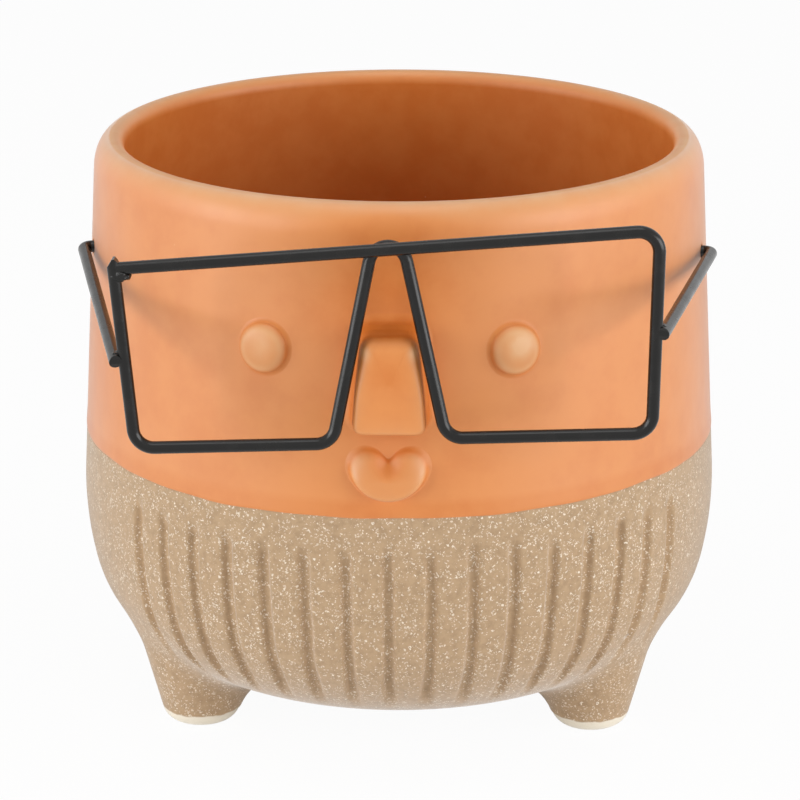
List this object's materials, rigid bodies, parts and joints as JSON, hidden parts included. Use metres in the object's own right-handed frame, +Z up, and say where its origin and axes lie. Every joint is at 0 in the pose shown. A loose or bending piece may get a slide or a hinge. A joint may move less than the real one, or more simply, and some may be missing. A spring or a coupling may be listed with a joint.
{
  "type": "face planter",
  "caption": "Footed ceramic planter with a modelled face, a grooved bare lower bowl and black wire glasses that hook into its wall and swing up.",
  "frame": {"origin": "on the surface that the feet stand on, under the middle of the whole footprint", "axes": "+Z up, the face looks along -Y, +X towards the right-hand side of the picture"},
  "size_m": [0.152, 0.1621, 0.1385],
  "materials": {
    "glaze": "satin orange glaze",
    "stoneware": "bare speckled clay, matt",
    "wire": "satin black"
  },
  "bodies": {
    "pot": {"upper_wall": "glaze", "ribbed_bowl": "stoneware", "front_left_foot": "stoneware", "front_right_foot": "stoneware", "rear_foot": "stoneware", "nose": "glaze", "lips": "glaze", "left_eye": "glaze", "right_eye": "glaze"},
    "glasses": {"front_frame": "wire", "left_temple": "wire", "right_temple": "wire", "corner_weld": "wire", "bridge_welds": "wire", "temple_welds": "wire"}
  },
  "joints": [
    {"name": "glasses_swing", "type": "hinge", "parent": "pot", "child": "glasses", "pos_m": [0, -0.01111, 0.114], "axis": [-1, 0, 0], "range_deg": [0, 62]}
  ]
}
